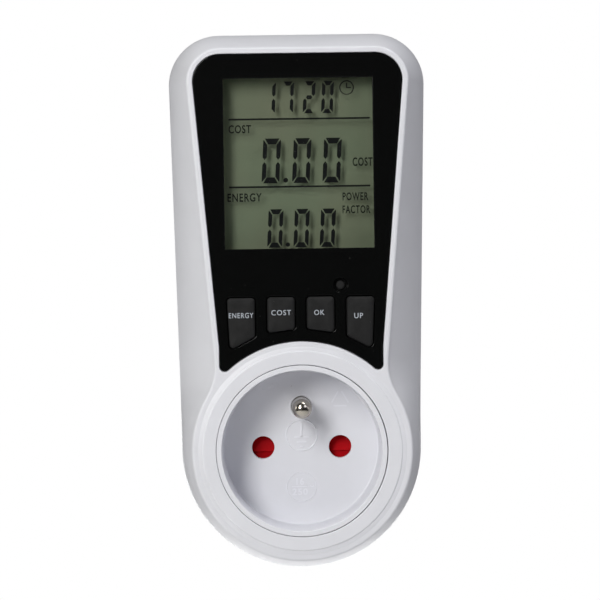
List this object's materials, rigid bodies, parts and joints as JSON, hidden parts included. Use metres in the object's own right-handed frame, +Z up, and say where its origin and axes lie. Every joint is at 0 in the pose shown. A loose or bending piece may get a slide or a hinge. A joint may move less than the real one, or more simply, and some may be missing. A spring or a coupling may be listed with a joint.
{
  "type": "plug-in power meter",
  "caption": "Plug-in energy meter: upright white case with a display and keys above a round earthed socket, and an earthed plug on its back.",
  "frame": {"origin": "on the axis shared by the plug and the socket, at the plug's flat face", "axes": "+Z up along the case, +Y out of the plug's face along its pins, so the display and socket face -Y"},
  "size_m": [0.0632, 0.0749, 0.1315],
  "materials": {
    "white_plastic": "satin moulded ABS, very fine grain, cool white",
    "socket_plastic": "satin polycarbonate, a shade brighter than the case",
    "black_plastic": "polished black ABS panel",
    "clear_window": "clear acrylic pane",
    "lcd_glass": "grey-green reflective display with blue-black segments",
    "inner_plastic": "plain light grey moulding",
    "key_rubber": "dark grey matt silicone with pale printed legends",
    "board_green": "green solder mask on glass-fibre board",
    "chip_black": "moulded epoxy package",
    "steel_can": "drawn metal can",
    "capacitor_yellow": "yellow plastic case",
    "capacitor_sleeve": "dark blue shrink sleeve",
    "resistor_body": "grey-green cement coating",
    "cell_sleeve": "green shrink sleeve",
    "shutter_red": "deep red moulding",
    "spring_steel": "bright drawn wire",
    "contact_brass": "stamped brass strip",
    "nickel_plate": "nickel-plated brass, slightly warm",
    "shunt_metal": "coppery resistance strip",
    "wire_red": "flexible insulation",
    "wire_black": "flexible insulation",
    "wire_blue": "flexible insulation",
    "screw_steel": "zinc-plated steel"
  },
  "bodies": {
    "case": {"front_shell": "white_plastic", "rear_shell": "white_plastic", "case_screw_1": "screw_steel", "case_screw_2": "screw_steel", "case_screw_3": "screw_steel", "case_screw_4": "screw_steel", "display_bezel": "black_plastic", "display_window": "clear_window", "lcd_panel": "lcd_glass", "lcd_holder": "inner_plastic", "zebra_strip_lower": "key_rubber", "zebra_strip_upper": "key_rubber", "keypad_mat": "key_rubber", "main_board": "board_green", "controller_chip": "chip_black", "crystal": "steel_can", "film_capacitor": "capacitor_yellow", "smoothing_capacitor": "capacitor_sleeve", "fusible_resistor": "resistor_body", "backup_cells": "cell_sleeve", "socket_cup": "socket_plastic", "shutter_spring": "spring_steel", "contact_carrier": "inner_plastic", "live_contact": "contact_brass", "neutral_contact": "contact_brass", "earth_pin": "nickel_plate", "plug_insert": "white_plastic", "live_plug_pin": "nickel_plate", "neutral_plug_pin": "nickel_plate", "earth_bracket": "nickel_plate", "earth_tube": "nickel_plate", "current_shunt": "shunt_metal", "live_wire": "wire_red", "shunt_wire": "wire_black", "neutral_wire": "wire_blue"},
    "energy_button": {"energy_key": "key_rubber"},
    "cost_button": {"cost_key": "key_rubber"},
    "ok_button": {"ok_key": "key_rubber"},
    "up_button": {"up_key": "key_rubber"},
    "reset_button": {"reset_key": "key_rubber"},
    "shutter": {"safety_shutter": "shutter_red"}
  },
  "joints": [
    {"name": "energy_key_press", "type": "slide", "parent": "case", "child": "energy_button", "axis": [0, 1, 0], "range_m": [0, 0.0009], "stiffness_N_per_m": 900, "springref_m": -0.0006},
    {"name": "cost_key_press", "type": "slide", "parent": "case", "child": "cost_button", "axis": [0, 1, 0], "range_m": [0, 0.0009], "stiffness_N_per_m": 900, "springref_m": -0.0006},
    {"name": "ok_key_press", "type": "slide", "parent": "case", "child": "ok_button", "axis": [0, 1, 0], "range_m": [0, 0.0009], "stiffness_N_per_m": 900, "springref_m": -0.0006},
    {"name": "up_key_press", "type": "slide", "parent": "case", "child": "up_button", "axis": [0, 1, 0], "range_m": [0, 0.0009], "stiffness_N_per_m": 900, "springref_m": -0.0006},
    {"name": "reset_key_press", "type": "slide", "parent": "case", "child": "reset_button", "axis": [0, 1, 0], "range_m": [0, 0.0009], "stiffness_N_per_m": 900, "springref_m": -0.0006},
    {"name": "shutter_slide", "type": "slide", "parent": "case", "child": "shutter", "axis": [0, 0, 1], "range_m": [-0.006, 0], "stiffness_N_per_m": 100, "springref_m": 0.003, "deforming": ["shutter_spring"]}
  ]
}
